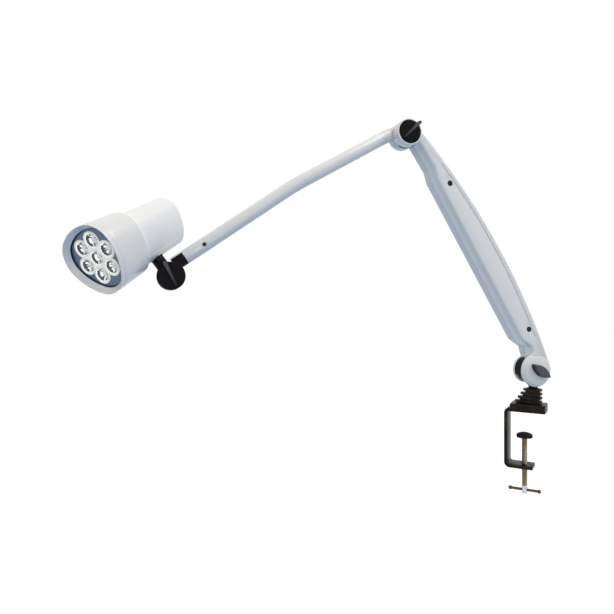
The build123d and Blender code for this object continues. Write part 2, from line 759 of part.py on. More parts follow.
# ======================================================================================
# Fore-arm: a bent tube on the elbow tongue, with a hood over the head joint
# ======================================================================================
with BuildLine(FORE) as tube_path:
    FilletPolyline((tube_start, -tube_start_rise), (tube_bend, -tube_bend_rise),
                   (fore_length - tube_stop, -tube_stop_rise), radius=tube_bend_radius)
tube_line = tube_path.wires()[0]
TUBE_IN = Plane(origin=tube_line @ 0, x_dir=near, z_dir=tube_line % 0)
TUBE_OUT = Plane(origin=tube_line @ 1, x_dir=near, z_dir=tube_line % 1)
tube_bore = tube_diameter / 2 - tube_wall
spigot_radius = tube_bore - spigot_gap

with BuildPart() as elbow_tongue:
    with BuildSketch(FORE):
        Circle(elbow_radius)
    extrude(amount=tongue_thickness / 2, both=True)
    with BuildSketch(Plane(origin=FORE.from_local_coords(Vector(neck_start, -neck_line)),
                           x_dir=near, z_dir=FORE.x_dir)):
        RectangleRounded(neck_width, neck_height, neck_round)
    with BuildSketch(TUBE_IN):
        Circle(tube_diameter / 2)
    loft()
    with BuildSketch(TUBE_IN):
        Circle(spigot_radius)
    extrude(amount=spigot_length)
    with BuildSketch(FORE):
        Circle(axle_bore)
    extrude(amount=tongue_thickness, both=True, mode=Mode.SUBTRACT)
elbow_tongue.part.label = "elbow_tongue"
export_step(elbow_tongue.part, "parts/elbow_tongue.step")

hood_floor = hood_rise - tube_stop_rise
fore_screw_plane = Plane(origin=tube_line @ 1 - (tube_line % 1) * (fore_screw_place - tube_stop),
                         x_dir=tube_line % 1, z_dir=near)
with BuildPart() as fore_arm_tube:
    with BuildSketch(TUBE_IN):
        Circle(tube_diameter / 2)
        Circle(tube_bore, mode=Mode.SUBTRACT)
    sweep(path=tube_line)
    with BuildSketch(TUBE_OUT):
        Circle(tube_diameter / 2)
        with Locations((0, hood_floor - tube_diameter / 2)):
            Rectangle(tube_diameter, tube_diameter, mode=Mode.SUBTRACT)
    extrude(amount=hood_length)
    with BuildSketch(fore_screw_plane):
        Circle((fore_screw_diameter + running_fit) / 2)
    extrude(amount=tube_diameter, mode=Mode.SUBTRACT)
fore_arm_tube.part.label = "fore_arm_tube"
export_step(fore_arm_tube.part, "parts/fore_arm_tube.step")

# ======================================================================================
# Head joint: the arm's knuckle, the head's knuckle behind it, axle, washer and knob
# ======================================================================================
head_axle_bore = (head_axle_diameter + running_fit) / 2
knuckle_outer = washer_thickness + knuckle_thickness
knob_seat = washer_thickness + hub_floor
with BuildPart() as arm_knuckle:
    with BuildSketch(TILT.offset(washer_thickness)):
        Circle(knuckle_radius)
    extrude(amount=knuckle_thickness)
    fillet(arm_knuckle.faces().sort_by(Axis.Y)[0].edges(), radius=knob_round)
    with BuildSketch(TUBE_OUT):
        Circle(tube_diameter / 2)
        with Locations((washer_thickness - tube_diameter / 2, 0)):
            Rectangle(tube_diameter, 2 * tube_diameter, mode=Mode.SUBTRACT)
        with Locations((0, hood_floor - insert_gap + tube_diameter / 2)):
            Rectangle(2 * tube_diameter, tube_diameter, mode=Mode.SUBTRACT)
    extrude(amount=hood_length)
    with BuildSketch(TUBE_OUT):
        Circle(spigot_radius)
    extrude(amount=-spigot_length)
    with BuildSketch(fore_screw_plane.offset(tube_bore - fore_screw_length)):
        Circle((fore_screw_diameter + running_fit) / 2)
    extrude(amount=fore_screw_length, mode=Mode.SUBTRACT)
    with BuildSketch(TILT):
        Circle(head_axle_bore)
    extrude(amount=knuckle_outer, mode=Mode.SUBTRACT)
    with BuildSketch(TILT.offset(knob_seat)):
        Circle(hub_bore)
    extrude(amount=knuckle_outer, mode=Mode.SUBTRACT)
arm_knuckle.part.label = "arm_knuckle"
export_step(arm_knuckle.part, "parts/arm_knuckle.step")

with BuildPart() as fore_arm_screw:
    with BuildSketch(fore_screw_plane.offset(tube_bore - fore_screw_length)):
        Circle(fore_screw_diameter / 2)
    extrude(amount=fore_screw_length + tube_wall)
    with BuildSketch(fore_screw_plane.offset(tube_diameter / 2)):
        Circle(fore_screw_head / 2)
    extrude(amount=fore_screw_head_height)
    fillet(fore_arm_screw.faces().sort_by(Axis.Y)[0].edges(), radius=fore_screw_head_height / 2)
fore_arm_screw.part.label = "fore_arm_screw"
export_step(fore_arm_screw.part, "parts/fore_arm_screw.step")

with BuildPart() as head_washer:
    with BuildSketch(TILT):
        Circle(knuckle_radius)
        Circle(head_axle_bore, mode=Mode.SUBTRACT)
    extrude(amount=washer_thickness)
head_washer.part.label = "head_washer"
export_step(head_washer.part, "parts/head_washer.step")

head_knob_floor = knuckle_outer + knob_gap
with BuildPart() as head_knob:
    winged_knob(TILT, head_disc_radius, knob_seat + knob_gap, head_knob_floor, head_wing_angle,
                head_axle_bore)
head_knob.part.label = "head_knob"
export_step(head_knob.part, "parts/head_knob.step")

disc_end = turn_gap + head_disc_thickness
with BuildPart() as head_knuckle:
    with BuildSketch(TILT.offset(-turn_gap)):
        Circle(head_disc_radius)
    extrude(amount=-head_disc_thickness)
    fillet(head_knuckle.faces().sort_by(Axis.Y)[-1].edges(), radius=knob_round)
    with BuildSketch(STEM):
        Circle(collar_diameter / 2)
        with Locations((0, collar_diameter / 2 - turn_gap)):
            Rectangle(2 * collar_diameter, collar_diameter, mode=Mode.SUBTRACT)
    extrude(amount=collar_full)
    with BuildSketch(STEM.offset(collar_full)):
        Circle(collar_diameter / 2)
    extrude(amount=collar_reach - collar_full)
    with BuildSketch(TILT):
        Circle(head_axle_bore)
    extrude(amount=-disc_end * 2, mode=Mode.SUBTRACT)
    with BuildSketch(STEM.offset(pin_floor)):
        Circle((pin_diameter + running_fit) / 2)
    extrude(amount=collar_reach, mode=Mode.SUBTRACT)
head_knuckle.part.label = "head_knuckle"
export_step(head_knuckle.part, "parts/head_knuckle.step")

with BuildPart() as head_axle:
    with BuildSketch(TILT.offset(-disc_end - insert_gap - axle_head_height)):
        Circle(axle_head_diameter / 2)
    extrude(amount=axle_head_height)
    with BuildSketch(TILT.offset(-disc_end - insert_gap)):
        Circle(head_axle_diameter / 2)
    extrude(amount=disc_end + insert_gap + head_knob_floor + bore_cover / 2)
head_axle.part.label = "head_axle"
export_step(head_axle.part, "parts/head_axle.step")

# ======================================================================================
# Swivel pin: fixed in the head's knuckle, the lamp head turns about it
# ======================================================================================
pin_top = stem_length - socket_top
with BuildPart() as swivel_pin:
    with BuildSketch(STEM.offset(pin_floor)):
        Circle(pin_diameter / 2)
    extrude(amount=pin_top + turn_gap - pin_floor)
    with BuildSketch(STEM.offset(pin_top + turn_gap)):
        Circle(pin_head_diameter / 2)
    extrude(amount=pin_head_height)
swivel_pin.part.label = "swivel_pin"
export_step(swivel_pin.part, "parts/swivel_pin.step")


# ======================================================================================
# Lamp head: housings, bezel, petalled optics, light engine and driver
# ======================================================================================
tri_side = tri_radius / 2 + tri_bow


def rounded_triangle(frame, grown):
    """The head's outline in the given plane, grown outwards from the small triangle."""
    with BuildSketch(frame) as outline:
        with BuildLine():
            for side in range(corners):
                turned = tri_turn + 360 / corners * side
                half_turn = 180 / corners
                ThreePointArc(
                    (tri_radius * cos(radians(turned)), tri_radius * sin(radians(turned))),
                    (tri_side * cos(radians(turned + half_turn)),
                     tri_side * sin(radians(turned + half_turn))),
                    (tri_radius * cos(radians(turned + 2 * half_turn)),
                     tri_radius * sin(radians(turned + 2 * half_turn))))
        make_face()
        offset(amount=grown)
    return outline.sketch


def at(place):
    return HEAD.offset(place)


led_spots = [(0, 0)]
for turn in range(ring_leds):
    led_angle = radians(360 / ring_leds * turn)
    led_spots.append((optic_pitch * cos(led_angle), optic_pitch * sin(led_angle)))
barrel_inner = barrel_offset - head_wall
rear_inner = barrel_rear_offset - head_wall
board_seat = tri_side + rear_inner - driver_gap
front_inner = shoulder_offset - front_wall
spot_face = stem_length - collar_reach - turn_gap
barrel_front = seam_place + head_wall + insert_gap + flange_thickness

with BuildPart() as rear_housing:
    add(rounded_triangle(at(barrel_end), barrel_rear_offset))
    add(rounded_triangle(at(barrel_front), barrel_offset))
    loft()
    fillet(rear_housing.faces().sort_by(Axis(HEAD.origin, HEAD.z_dir))[0].edges(),
           radius=barrel_round)
    extrude(rounded_triangle(at(barrel_front - flange_thickness), front_inner - insert_gap),
            amount=flange_thickness)
    add(rounded_triangle(at(barrel_end + head_wall), rear_inner))
    add(rounded_triangle(at(barrel_front), barrel_inner))
    loft(mode=Mode.SUBTRACT)
    with BuildSketch(STEM.offset(collar_reach + turn_gap)):
        Circle(socket_radius)
    extrude(amount=spot_face - socket_top)
    with BuildSketch(STEM.offset(collar_reach - barrel_round)):
        Circle(spot_radius)
    extrude(amount=barrel_round + turn_gap, mode=Mode.SUBTRACT)
    with BuildSketch(STEM.offset(collar_reach)):
        Circle((pin_diameter + running_fit) / 2)
    extrude(amount=spot_face - socket_top + 2 * turn_gap, mode=Mode.SUBTRACT)
    with BuildSketch(at(sink_place - pillar_depth)):
        with PolarLocations(pillar_place, corners, start_angle=tri_turn):
            Circle(boss_radius)
    extrude(amount=pillar_depth)
    with BuildSketch(at(sink_place)):
        with PolarLocations(pillar_place, corners, start_angle=tri_turn):
            Circle((head_screw_diameter + running_fit) / 2)
    extrude(amount=-head_screw_length, mode=Mode.SUBTRACT)
    with BuildSketch(at(barrel_end)):
        Circle((button_diameter + running_fit) / 2)
    extrude(amount=head_wall, mode=Mode.SUBTRACT)
    with BuildSketch(Plane(origin=HEAD.from_local_coords(Vector(0, board_seat)),
                           x_dir=HEAD.x_dir, z_dir=HEAD.y_dir)):
        with GridLocations(driver_width - 2 * driver_post_inset,
                           driver_length - 2 * driver_post_inset, 2, 2):
            Circle(driver_post / 2)
    extrude(amount=driver_gap + barrel_offset - barrel_rear_offset)
rear_housing.part.label = "rear_housing"
export_step(rear_housing.part, "parts/rear_housing.step")

with BuildPart() as front_housing:
    add(rounded_triangle(at(seam_place), shoulder_offset))
    add(rounded_triangle(at(rim_place - bezel_rim), rim_offset))
    loft()
    fillet(front_housing.faces().sort_by(Axis(HEAD.origin, HEAD.z_dir))[0].edges(),
           radius=shoulder_round)
    extrude(rounded_triangle(at(seam_place + head_wall), front_inner), amount=rim_place,
            mode=Mode.SUBTRACT)
    extrude(rounded_triangle(at(seam_place), barrel_offset + running_fit), amount=head_wall,
            mode=Mode.SUBTRACT)
front_housing.part.label = "front_housing"
export_step(front_housing.part, "parts/front_housing.step")

plate_front = window_place - plate_depth
with BuildPart() as bezel:
    extrude(rounded_triangle(at(rim_place - bezel_rim), rim_offset), amount=bezel_rim)
    extrude(rounded_triangle(at(plate_front), front_inner - insert_gap),
            amount=rim_place - bezel_rim - plate_front)
    add(rounded_triangle(at(rim_place), rim_offset - bezel_lip))
    add(rounded_triangle(at(window_place), window_offset))
    loft(mode=Mode.SUBTRACT)
    extrude(rounded_triangle(at(plate_front), window_offset), amount=plate_depth,
            mode=Mode.SUBTRACT)
bezel.part.label = "bezel"
export_step(bezel.part, "parts/bezel.step")

sink_front = sink_place + sink_plate
with BuildPart() as face_plate:
    extrude(rounded_triangle(at(sink_front), front_inner - 2 * insert_gap),
            amount=plate_front - sink_front)
    extrude(rounded_triangle(at(sink_front), front_inner - 2 * insert_gap - plate_thickness),
            amount=plate_front - sink_front - plate_thickness, mode=Mode.SUBTRACT)
    with BuildSketch(at(sink_front)):
        Circle(petal_core)
        with Locations(led_spots):
            Circle(petal_radius + insert_gap)
    extrude(amount=plate_front - sink_front, mode=Mode.SUBTRACT)
face_plate.part.label = "face_plate"
export_step(face_plate.part, "parts/face_plate.step")

holder_back = sink_front + board_thickness
led_front = holder_back + led_height
optic_back = led_front + insert_gap
with BuildPart() as optic_holder:
    with BuildSketch(at(holder_back)):
        Circle(petal_core)
        with Locations(led_spots):
            Circle(petal_radius)
    extrude(amount=plate_front + petal_proud - holder_back)
    with BuildSketch(at(optic_back)):
        with Locations(led_spots):
            Circle(optic_radius + running_fit)
    extrude(amount=rim_place, mode=Mode.SUBTRACT)
    with BuildSketch(at(holder_back)):
        with Locations(led_spots):
            Circle(led_window / 2)
    extrude(amount=rim_place, mode=Mode.SUBTRACT)
optic_holder.part.label = "optic_holder"
export_step(optic_holder.part, "parts/optic_holder.step")

with BuildPart() as optics:
    for spot in led_spots:
        with BuildSketch(at(optic_back)):
            with Locations(spot):
                Circle(optic_back_radius)
        with BuildSketch(at(optic_back + optic_depth)):
            with Locations(spot):
                Circle(optic_radius)
        loft()
optics.part.label = "optics"
export_step(optics.part, "parts/optics.step")

with BuildPart() as led_board:
    extrude(rounded_triangle(at(sink_front), board_offset), amount=board_thickness)
    with BuildSketch(at(sink_front)):
        with PolarLocations(pillar_place, corners, start_angle=tri_turn):
            Circle(head_screw_head_diameter / 2 + insert_gap)
    extrude(amount=board_thickness, mode=Mode.SUBTRACT)
led_board.part.label = "led_board"
export_step(led_board.part, "parts/led_board.step")

with BuildPart() as leds:
    with BuildSketch(at(holder_back)):
        with Locations(led_spots):
            Rectangle(led_size, led_size)
    extrude(amount=led_height)
leds.part.label = "leds"
export_step(leds.part, "parts/leds.step")

with BuildPart() as heat_sink:
    extrude(rounded_triangle(at(sink_place), front_inner - 2 * insert_gap), amount=sink_plate)
    with BuildSketch(at(sink_place)):
        with GridLocations(sink_fin_pitch, 0, sink_fin_count, 1):
            Rectangle(sink_fin_thickness, sink_fin_width)
    extrude(amount=-sink_fin_length)
    with BuildSketch(at(sink_place)):
        with PolarLocations(pillar_place, corners, start_angle=tri_turn):
            Circle((head_screw_diameter + running_fit) / 2)
    extrude(amount=sink_plate, mode=Mode.SUBTRACT)
heat_sink.part.label = "heat_sink"
export_step(heat_sink.part, "parts/heat_sink.step")

with BuildPart() as head_screws:
    with BuildSketch(at(sink_front)):
        with PolarLocations(pillar_place, corners, start_angle=tri_turn):
            Circle(head_screw_diameter / 2)
    extrude(amount=insert_gap - sink_plate - head_screw_length)
    with BuildSketch(at(sink_front)):
        with PolarLocations(pillar_place, corners, start_angle=tri_turn):
            Circle(head_screw_head_diameter / 2)
    extrude(amount=head_screw_head)
head_screws.part.label = "head_screws"
export_step(head_screws.part, "parts/head_screws.step")

DRIVER = Plane(origin=HEAD.from_local_coords(Vector(0, board_seat)),
               x_dir=HEAD.x_dir, z_dir=-HEAD.y_dir)
with BuildPart() as driver_board:
    with BuildSketch(DRIVER):
        Rectangle(driver_width, driver_length)
    extrude(amount=board_thickness)
    with BuildSketch(DRIVER.offset(board_thickness)):
        with Locations((-driver_width / 4, 0)):
            Rectangle(choke_width, choke_length)
    extrude(amount=choke_height)
    with BuildSketch(DRIVER.offset(board_thickness)):
        with Locations((driver_width / 4, driver_length / 4), (driver_width / 4, -driver_length / 4)):
            Circle(capacitor_diameter / 2)
    extrude(amount=capacitor_height)
driver_board.part.label = "driver_board"
export_step(driver_board.part, "parts/driver_board.step")

button_back = barrel_end - button_proud + button_height
flange_radius = button_diameter / 2 + button_flange
with BuildPart() as power_button:
    with BuildSketch(at(barrel_end - button_proud)):
        Circle(button_diameter / 2)
    extrude(amount=button_height)
    fillet(power_button.faces().sort_by(Axis(HEAD.origin, HEAD.z_dir))[0].edges(),
           radius=button_round)
    with BuildSketch(at(barrel_end + head_wall + insert_gap)):
        Circle(flange_radius)
    extrude(amount=button_back - barrel_end - head_wall - insert_gap)
power_button.part.label = "power_button"
export_step(power_button.part, "parts/power_button.step")

switch_room = button_back + button_travel + insert_gap
with BuildPart() as switch_body:
    with BuildSketch(at(barrel_end + head_wall)):
        Circle(flange_radius + insert_gap + switch_wall)
    extrude(amount=switch_room + switch_floor - barrel_end - head_wall)
    with BuildSketch(at(barrel_end + head_wall)):
        Circle(flange_radius + insert_gap)
    extrude(amount=switch_room - barrel_end - head_wall, mode=Mode.SUBTRACT)
switch_body.part.label = "switch_body"
export_step(switch_body.part, "parts/switch_body.step")
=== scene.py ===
# %% [markdown]
# # A dental operating light, dressed for rendering
# A small LED operating light clamps to a table edge. Its lower arm is a pair of white moulded
# covers, its fore-arm is a bent tube, and both are held by friction joints with black knobs. The
# construction comes ready made as a fixed frame of solid parts in metres. This lesson adds the
# camera, the light, the finishes, and the pieces whose charm is in their fine shape.

# %% Load the frame
import json
import math

import bpy
from mathutils import Matrix, Vector

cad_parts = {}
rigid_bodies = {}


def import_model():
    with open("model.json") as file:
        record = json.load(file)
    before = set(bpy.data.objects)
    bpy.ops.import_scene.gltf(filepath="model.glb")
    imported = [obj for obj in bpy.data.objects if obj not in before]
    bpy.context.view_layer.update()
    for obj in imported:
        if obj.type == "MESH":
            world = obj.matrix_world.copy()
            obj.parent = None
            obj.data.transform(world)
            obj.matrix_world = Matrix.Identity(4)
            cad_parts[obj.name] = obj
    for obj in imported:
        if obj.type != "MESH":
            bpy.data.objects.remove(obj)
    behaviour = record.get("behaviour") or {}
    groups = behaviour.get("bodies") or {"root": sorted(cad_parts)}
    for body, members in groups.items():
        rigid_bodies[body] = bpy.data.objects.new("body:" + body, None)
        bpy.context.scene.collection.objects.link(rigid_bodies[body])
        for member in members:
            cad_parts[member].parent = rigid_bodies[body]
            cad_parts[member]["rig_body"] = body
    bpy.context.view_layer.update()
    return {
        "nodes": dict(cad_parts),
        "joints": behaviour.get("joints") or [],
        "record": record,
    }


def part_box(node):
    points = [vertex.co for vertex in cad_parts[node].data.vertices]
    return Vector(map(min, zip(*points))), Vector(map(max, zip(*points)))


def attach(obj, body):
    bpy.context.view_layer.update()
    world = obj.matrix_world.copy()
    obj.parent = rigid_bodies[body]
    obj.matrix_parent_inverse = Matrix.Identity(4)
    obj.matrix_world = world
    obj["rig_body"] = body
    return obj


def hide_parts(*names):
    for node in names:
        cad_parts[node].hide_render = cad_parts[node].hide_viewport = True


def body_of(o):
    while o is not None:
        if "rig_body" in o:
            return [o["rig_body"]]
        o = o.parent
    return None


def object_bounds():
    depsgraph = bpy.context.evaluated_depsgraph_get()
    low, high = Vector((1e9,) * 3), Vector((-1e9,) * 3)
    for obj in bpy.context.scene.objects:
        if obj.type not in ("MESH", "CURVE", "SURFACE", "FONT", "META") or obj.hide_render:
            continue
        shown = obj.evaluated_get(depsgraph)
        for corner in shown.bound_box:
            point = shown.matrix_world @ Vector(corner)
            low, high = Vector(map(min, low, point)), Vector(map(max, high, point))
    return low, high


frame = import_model()
bpy.ops.object.select_all(action="DESELECT")

# %% [markdown]
# Every place in this file is worked out from the frame. Each joint knows a point on its axis and
# the direction of that axis, so the joints give us the centre lines of the whole lamp. MM turns
# the sizes below, which are written in millimetres, into metres.

# %% Centre lines from the joints
MM = 0.001
joints = {joint["name"]: joint for joint in frame["joints"]}


def joint_point(name):
    """A point on the axis of a joint."""
    return Vector(joints[name]["pos_m"])


base_point = joint_point("base_tilt")
elbow_point = joint_point("elbow")
head_point = joint_point("head_tilt")
beam_axis = Vector(joints["button_press"]["axis"]).normalized()
print("elbow at", tuple(round(value, 3) for value in elbow_point))

# %% [markdown]
# ## Camera
# The light is seen from a little below its head, level with the middle of the arms. A camera that
# looks level keeps upright things upright. It is turned a little to the right, which shows the
# left side of each part, and its lens is slightly wide.

# %% Camera
camera_place = Vector((-0.5573, -0.7, 0.15825))
camera_turn = math.radians(16)
bpy.ops.object.camera_add(location=camera_place, rotation=(math.pi / 2, 0, -camera_turn))
camera = bpy.context.object
camera.data.sensor_width = 36
camera.data.lens = 31.95
bpy.context.scene.camera = camera
print("camera lens:", camera.data.lens)

# %% [markdown]
# ## Writing shader maths as Python
# A material is a graph of nodes, and long graphs are hard to read as node calls. A small class can
# wrap a socket and turn each arithmetic operator into a Math node, so that a mask is written as
# `1 - noise * 2`. Every other node comes from one method that takes the node's type, its settings
# and what goes into its sockets.

# %% Socket wrapper and paint graph
class Value:
    """A number in a shader graph, which grows Math nodes when it is used in arithmetic."""

    def __init__(self, graph, socket):
        self.graph = graph
        self.socket = socket

    def math(self, operation, *operands):
        return self.graph.node("ShaderNodeMath", {"operation": operation},
                               dict(enumerate(operands)))

    def __add__(self, other):
        return self.math("ADD", self, other)

    __radd__ = __add__

    def __rsub__(self, other):
        return self.math("SUBTRACT", other, self)

    def __mul__(self, other):
        return self.math("MULTIPLY", self, other)

    def larger(self, other):
        """The larger of two values."""
        return self.math("MAXIMUM", self, other)


class Graph:
    """A graph of shader nodes."""

    def __init__(self, tree):
        self.tree = tree

    def node(self, kind, settings=None, inputs=None, output=0):
        """Adds a node: its settings first, then a value or a link for each socket."""
        made = self.tree.nodes.new(kind)
        for key, value in (settings or {}).items():
            if key == "stops":
                ramp_stops(made.color_ramp, value)
            else:
                setattr(made, key, value)
        for key, value in (inputs or {}).items():
            self.feed(made.inputs[key], value)
        return Value(self, made.outputs[output])

    def feed(self, socket, value):
        """Links a wrapped socket, or sets a plain value."""
        if isinstance(value, Value):
            self.tree.links.new(value.socket, socket)
        else:
            socket.default_value = value

    def place(self):
        """The point on the piece, in metres."""
        return self.node("ShaderNodeTexCoord", output="Object")

    def noise(self, size, detail=2.0, stretch=(1, 1, 1)):
        """Noise whose features are about `size` millimetres, from 0 to 1."""
        spread = tuple(axis / (size * MM) for axis in stretch)
        scaled = self.node("ShaderNodeMapping", {"vector_type": "POINT"},
                           {"Vector": self.place(), "Scale": spread})
        return self.node("ShaderNodeTexNoise", None,
                         {"Vector": scaled, "Scale": 1.0, "Detail": detail}, output=0)

    def fade(self, value, start, end):
        """Nothing where a value is at its start, one where it is at its end."""
        return self.node("ShaderNodeMapRange", None, {0: value, 1: start, 2: end})

    def blend(self, factor, first, second):
        """A colour between two colours."""
        return self.node("ShaderNodeMix", {"data_type": "RGBA"},
                         {"Factor": factor, 6: first, 7: second}, output=2)

    def bump(self, height, strength, distance):
        """A normal from a height of `distance` millimetres."""
        return self.node("ShaderNodeBump", None,
                         {"Height": height, "Strength": strength, "Distance": distance * MM})


class Paint(Graph):
    """One material's graph, with its finished surface in `shader`."""

    def __init__(self, name):
        self.material = bpy.data.materials.new(name)
        self.material.use_nodes = True
        super().__init__(self.material.node_tree)
        self.shader = self.tree.nodes["Principled BSDF"]
        self.output = self.tree.nodes["Material Output"]

    def set(self, **sockets):
        """Feeds the surface shader; an underscore in a name stands for a space."""
        for key, value in sockets.items():
            self.feed(self.shader.inputs[key.replace("_", " ")], value)


def ramp_stops(ramp, stops):
    """Sets a colour ramp's stops from pairs of place and colour."""
    ramp.elements[0].position, ramp.elements[0].color = stops[0]
    ramp.elements[1].position, ramp.elements[1].color = stops[-1]
    for place, colour in stops[1:-1]:
        ramp.elements.new(place).color = colour


def rgb(red, green, blue):
    """A colour as the shader sockets want it."""
    return (red, green, blue, 1.0)


def lifted(tone, factor):
    """A tone made lighter by a factor, as a colour."""
    return rgb(*(value * factor for value in tone))


print("paint graph ready")

# %% [markdown]
# ## Finishes
# The covers, housings and tongue are injection moulded in glossy white. Even a plain white
# moulding is never one colour: it has a faint cloudiness, its gloss wanders with the mould's
# polish, and a very fine ripple breaks up reflections. Next to a seam a thin rim gets a painted
# highlight.

# %% White moulded plastic
white_tone = (0.69, 0.685, 0.675)
white_shade = (0.645, 0.64, 0.635)
# The values below paint a highlight: a near-white rim along a seam, starting and full at these
# distances from it.
painted_highlight_tone = (0.97, 0.97, 0.97)
painted_highlight_start = 2.6 * MM       # the pale rim begins this far from the seam
painted_highlight_full = 2.0 * MM        # and is fully pale from here on


def moulded_white(name, roughness, ripple, ripple_size, painted_lift=1.0, rim=None):
    """Glossy white with faint clouding and a fine ripple; a lift factor paints it lighter, as if
    more lit, and a rim near a seam gets a painted highlight.
    """
    paint = Paint(name)
    cloud = paint.noise(38, 3)
    sheen = paint.noise(9, 4)
    # A lift factor above one paints the white lighter, as if more lit.
    colour = paint.blend(cloud, lifted(white_shade, painted_lift), lifted(white_tone, painted_lift))
    if rim is not None:
        # A painted highlight: towards the seam the white turns near-white, where the rounded edge
        # would catch the light.
        along = paint.node("ShaderNodeVectorMath", {"operation": "DOT_PRODUCT"},
                           {0: paint.place(), 1: beam_axis}, output=1)
        painted_highlight_mask = paint.fade(along, rim + painted_highlight_start, rim + painted_highlight_full)
        colour = paint.blend(painted_highlight_mask, colour, rgb(*painted_highlight_tone))
    paint.set(Base_Color=colour,
              Roughness=sheen * 0.10 + roughness,
              Normal=paint.bump(paint.noise(ripple_size, 2), 0.06, ripple),
              Coat_Weight=0.35, Coat_Roughness=0.12)
    return paint.material


white_plastic = moulded_white("white_moulded_plastic", 0.28, 0.04, 1.4)
white_paint = moulded_white("white_stove_enamel", 0.26, 0.015, 5.0)
print("white finishes:", white_plastic.name, white_paint.name)

# %% [markdown]
# The knobs and knuckles are black plastic with the dull, even grain of a spark-eroded mould. Hands
# polish the grain a little, so the roughness drops in soft patches. On the wing of a knob a second
# function paints a grey sheen that grows towards the wing's crest, where it also makes the black
# smoother.

# %% Black moulded plastic
grain_size = 0.45
grain_bump = {"strength": 0.22, "distance": 0.06}
black_shine = 0.07


def moulded_black(name, tone, roughness):
    """Black plastic with a fine grain that hands have polished in patches."""
    paint = Paint(name)
    grain = paint.noise(grain_size, 3)
    polish = paint.noise(14, 2)
    paint.set(Base_Color=paint.blend(polish, rgb(*tone), lifted(tone, 1.7)),
              Roughness=roughness - polish * 0.16 + grain * 0.08,
              Normal=paint.bump(grain, **grain_bump), Specular_IOR_Level=black_shine)
    return paint.material


def painted_sheen_black(name, foot, crest):
    """The same black on a knob, with a painted grey sheen from the foot of its wing to the crest.
    """
    paint = Paint(name)
    grain = paint.noise(grain_size, 3)
    along = paint.node("ShaderNodeSeparateXYZ", None, {0: paint.place()}, output=1)
    wear_and_sheen = paint.fade(along, foot, crest)
    sheen_patches = wear_and_sheen * (0.55 + paint.noise(5, 2) * 0.9)
    # The grey towards the crest is a painted sheen, laid on in patches.
    paint.set(Base_Color=paint.blend(sheen_patches, rgb(0.0042, 0.0038, 0.0046),
                                     rgb(0.105, 0.098, 0.118)),
              Roughness=0.36 - wear_and_sheen * 0.12 + grain * 0.08,
              Normal=paint.bump(grain, **grain_bump), Specular_IOR_Level=black_shine)
    return paint.material


black_plastic = moulded_black("black_grained_plastic", (0.0040, 0.0036, 0.0044), 0.36)
bush_plastic = moulded_black("dark_bearing_plastic", (0.010, 0.010, 0.013), 0.5)
print("black finishes:", black_plastic.name, bush_plastic.name)

# %% [markdown]
# The clamp is steel with a thick dark brown paint. It has a light orange peel, and the paint is
# thin and warm toned in places, where the brown primer shows through.

# %% Clamp paint
clamp_paint = Paint("clamp_brown_black_paint")
wear_and_sheen = clamp_paint.noise(16, 4)
peel = clamp_paint.noise(1.6, 2)
clamp_tone = clamp_paint.node("ShaderNodeValToRGB", {"stops": [
    (0.35, rgb(0.006, 0.0045, 0.004)), (0.55, rgb(0.016, 0.010, 0.006)),
    (0.72, rgb(0.040, 0.022, 0.010))]}, {0: wear_and_sheen})
clamp_paint.set(Base_Color=clamp_tone, Roughness=0.30 + wear_and_sheen * 0.15,
                Normal=clamp_paint.bump(peel, 0.18, 0.12), Specular_IOR_Level=0.12)
print("clamp finish:", clamp_paint.material.name)

# %% [markdown]
# Screws and axles are steel. Plated steel is bright and slightly brushed; the clamp screw's
# plating has yellowed, and the small arm screws are blackened. One function makes all of them
# from a tone and a roughness, and stretches its noise along the turning marks.

# %% Steel finishes
def steel(name, tone, tint, roughness):
    """Metal with turning marks and a little staining."""
    paint = Paint(name)
    marks = paint.noise(0.7, 3, stretch=(1, 1, 0.2))
    stain = paint.noise(7, 3)
    paint.set(Base_Color=paint.blend(stain, rgb(*tone), rgb(*tint)), Metallic=1.0,
              Roughness=roughness + marks * 0.16,
              Normal=paint.bump(marks, 0.08, 0.03))
    return paint.material


zinc_steel = steel("bright_zinc_steel", (0.62, 0.62, 0.64), (0.50, 0.50, 0.52), 0.24)
screw_steel = steel("yellowed_screw_steel", (0.225, 0.19, 0.105), (0.31, 0.275, 0.185), 0.26)
black_steel = steel("blackened_steel", (0.018, 0.018, 0.021), (0.035, 0.034, 0.037), 0.32)
spar_steel = steel("plain_strip_steel", (0.5, 0.5, 0.52), (0.42, 0.41, 0.40), 0.4)
tommy_steel = steel("browned_tommy_steel", (0.07, 0.045, 0.03), (0.14, 0.09, 0.055), 0.3)
sink_metal = steel("cast_aluminium", (0.70, 0.71, 0.72), (0.62, 0.63, 0.65), 0.42)
print("steel finishes ready")

# %% [markdown]
# The remaining plastics: the dark rubbery pressure pad, the steel-blue plate round the lenses, the
# pale lens holder, the boards inside and the yellow phosphor of the LEDs. The lens holder gets a
# faint painted glow in its own tone.

# %% Other finishes
def plain_moulding(name, tone, tint, roughness, grain, depth, coat=0.0, shine=0.5, glow=0.0):
    """Plastic or rubber with a soft change of tone and a fine grain."""
    paint = Paint(name)
    paint.set(Base_Color=paint.blend(paint.noise(11, 3), rgb(*tone), rgb(*tint)),
              Roughness=paint.noise(5, 3) * 0.12 + roughness,
              Normal=paint.bump(paint.noise(grain, 2), 0.2, depth),
              Coat_Weight=coat, Coat_Roughness=0.1, Specular_IOR_Level=shine,
              # glow paints light into the surface: a glow in the material's own tone.
              Emission_Color=rgb(*tone), Emission_Strength=glow)
    return paint.material


pad_rubber = plain_moulding("dark_pad_rubber", (0.006, 0.006, 0.007), (0.012, 0.012, 0.013),
                            0.5, 0.9, 0.1, shine=0.12)
plate_plastic = plain_moulding("steel_blue_plate", (0.080, 0.145, 0.215), (0.105, 0.175, 0.25),
                               0.32, 0.6, 0.03, coat=0.3)
